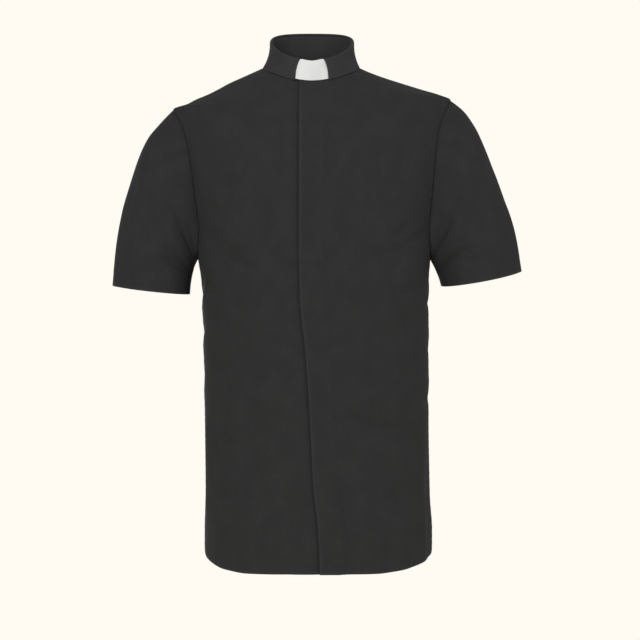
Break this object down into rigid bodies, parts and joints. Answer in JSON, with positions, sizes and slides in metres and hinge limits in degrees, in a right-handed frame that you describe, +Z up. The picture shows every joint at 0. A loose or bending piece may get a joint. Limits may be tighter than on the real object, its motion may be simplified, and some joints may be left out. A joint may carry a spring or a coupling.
{
  "type": "clergy shirt",
  "caption": "Short-sleeved clergy shirt in worn shape, with a fly front and a tab collar that holds a white tab.",
  "frame": {"origin": "centre of the neck at the height where the yoke bears on the shoulders, which is what holds the shirt up", "axes": "+Z up, -Y towards the front of the shirt, +X towards the wearer's left"},
  "size_m": [0.653, 0.2529, 0.867],
  "materials": {
    "cloth": "matt black plain-woven shirt cloth",
    "collar_cloth": "the same cloth over interfacing, a little smoother",
    "tab": "smooth white semi-matt strip",
    "button": "black resin"
  },
  "bodies": {
    "root": {"right_front": "cloth", "left_front": "cloth", "back": "cloth", "yoke": "cloth", "right_sleeve": "cloth", "left_sleeve": "cloth", "collar_stand": "collar_cloth", "collar_fall": "collar_cloth", "collar_tab": "tab", "button_1": "button", "button_2": "button", "button_3": "button", "button_4": "button", "button_5": "button", "button_6": "button", "button_7": "button"}
  },
  "joints": []
}
